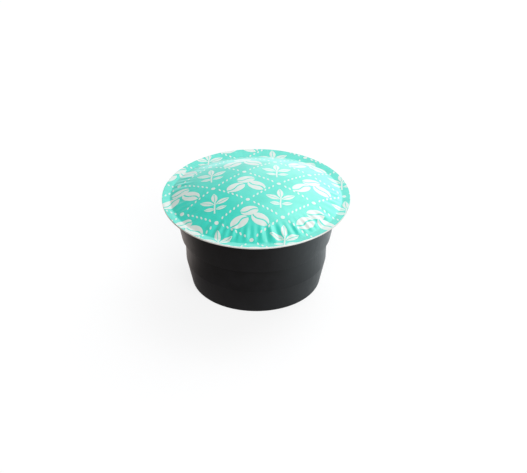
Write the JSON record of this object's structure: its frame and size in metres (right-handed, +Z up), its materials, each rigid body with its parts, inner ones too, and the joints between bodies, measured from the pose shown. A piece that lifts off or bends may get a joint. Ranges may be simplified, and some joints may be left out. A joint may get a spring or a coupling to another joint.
{
  "type": "coffee pod",
  "caption": "Coffee pod: a stepped black plastic cup with a wide flat flange, closed by a sealed, printed foil lid that bulges into a low dome.",
  "frame": {"origin": "middle of the base, on the surface that the pod stands on", "axes": "+Z up along the cup's axis, out through the foil lid; -Y towards the side that the picture shows; +X to that side's right"},
  "size_m": [0.046, 0.046, 0.0277],
  "materials": {
    "cup_plastic": "satin black moulded plastic",
    "lid_foil": "teal lacquered foil with a soft gloss and a pale print"
  },
  "bodies": {
    "root": {"cup": "cup_plastic", "lid": "lid_foil"}
  },
  "joints": []
}
